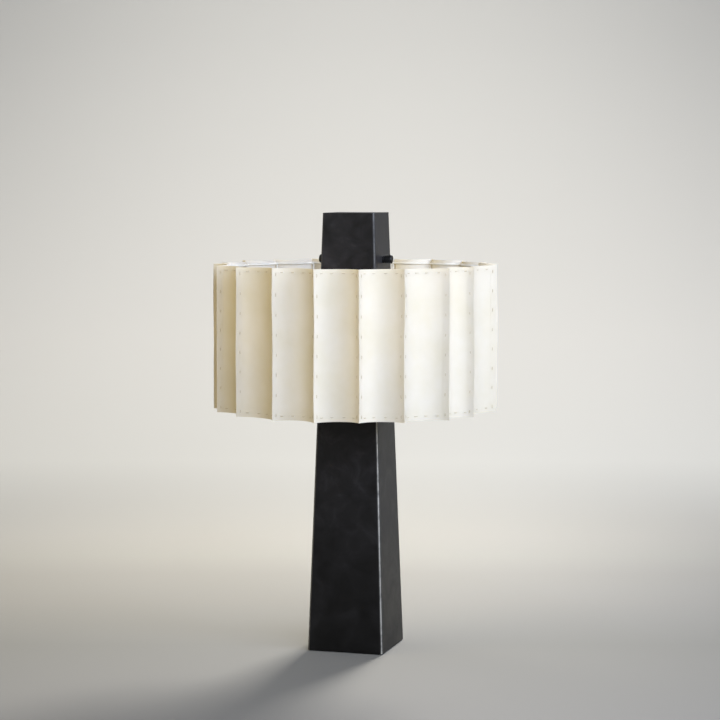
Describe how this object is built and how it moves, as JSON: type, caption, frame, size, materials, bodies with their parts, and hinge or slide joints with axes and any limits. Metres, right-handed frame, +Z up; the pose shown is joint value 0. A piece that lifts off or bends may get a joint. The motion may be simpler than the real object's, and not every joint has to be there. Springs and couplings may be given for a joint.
{
  "type": "table lamp",
  "caption": "Table lamp with a tapered square black column, a square hood with side knobs, and a round shade of curved stitched paper panels.",
  "frame": {"origin": "on the floor under the centre of the lamp", "axes": "+Z up, -Y is the front of the column, +X is its right face; a switch knob is on each of the left and right faces"},
  "size_m": [0.4235, 0.4236, 0.65],
  "materials": {
    "felt": "pressed felt",
    "zinc_steel": "zinc plated",
    "cast_iron": "as cast",
    "porcelain": "unglazed",
    "blackened_steel": "blackened, satin lacquer",
    "rubber": "matte",
    "black_plastic": "matte",
    "black_screw": "black oxide",
    "black_nut": "black oxide",
    "switch_body": "moulded",
    "knob_black": "blackened, knurled",
    "black_tube": "black enamel",
    "holder_phenolic": "moulded phenolic",
    "frosted_glass": "frosted",
    "nickel_brass": "nickel plated",
    "lead_sleeve": "sleeved",
    "white_wire": "white enamel",
    "parchment": "matte parchment"
  },
  "bodies": {
    "lamp": {"foot_pad": "felt", "base_plate": "zinc_steel", "base_lugs": "zinc_steel", "base_screws": "zinc_steel", "ballast_block": "cast_iron", "ballast_screws": "zinc_steel", "terminal_block": "porcelain", "column_shell": "blackened_steel", "column_top_plate": "zinc_steel", "top_plate_grommet": "rubber", "cord_bush": "black_plastic", "cap_hood": "blackened_steel", "hood_screws": "black_screw", "switch_ring_nuts": "black_nut", "rotary_switch_left": "switch_body", "rotary_switch_right": "switch_body", "arm_tube_left": "black_tube", "arm_tube_right": "black_tube", "arm_flanges": "black_tube", "arm_lock_nuts": "zinc_steel", "lampholder_left": "holder_phenolic", "lampholder_right": "holder_phenolic", "bulb_glass_left": "frosted_glass", "bulb_glass_right": "frosted_glass", "bulb_cap_left": "nickel_brass", "bulb_cap_right": "nickel_brass", "supply_leads": "lead_sleeve", "holder_leads": "lead_sleeve", "shade_collar": "white_wire", "shade_spokes": "white_wire", "shade_ribs": "white_wire", "shade_top_ring": "white_wire", "shade_bottom_ring": "white_wire", "shade_panel_01": "parchment", "shade_panel_02": "parchment", "shade_panel_03": "parchment", "shade_panel_04": "parchment", "shade_panel_05": "parchment", "shade_panel_06": "parchment", "shade_panel_07": "parchment", "shade_panel_08": "parchment", "shade_panel_09": "parchment", "shade_panel_10": "parchment", "shade_panel_11": "parchment", "shade_panel_12": "parchment", "shade_panel_13": "parchment", "shade_panel_14": "parchment", "shade_panel_15": "parchment", "shade_panel_16": "parchment", "shade_panel_17": "parchment", "shade_panel_18": "parchment", "shade_panel_19": "parchment", "shade_panel_20": "parchment"},
    "left_knob": {"switch_spindle_left": "zinc_steel", "switch_knob_left": "knob_black"},
    "right_knob": {"switch_spindle_right": "zinc_steel", "switch_knob_right": "knob_black"}
  },
  "joints": [
    {"name": "left_knob_turn", "type": "hinge", "parent": "lamp", "child": "left_knob", "pos_m": [-0.04182, 0, 0.581], "axis": [-0.9995, 0, 0.0315], "continuous": true},
    {"name": "right_knob_turn", "type": "hinge", "parent": "lamp", "child": "right_knob", "pos_m": [0.04182, 0, 0.581], "axis": [0.9995, 0, 0.0315], "continuous": true}
  ]
}
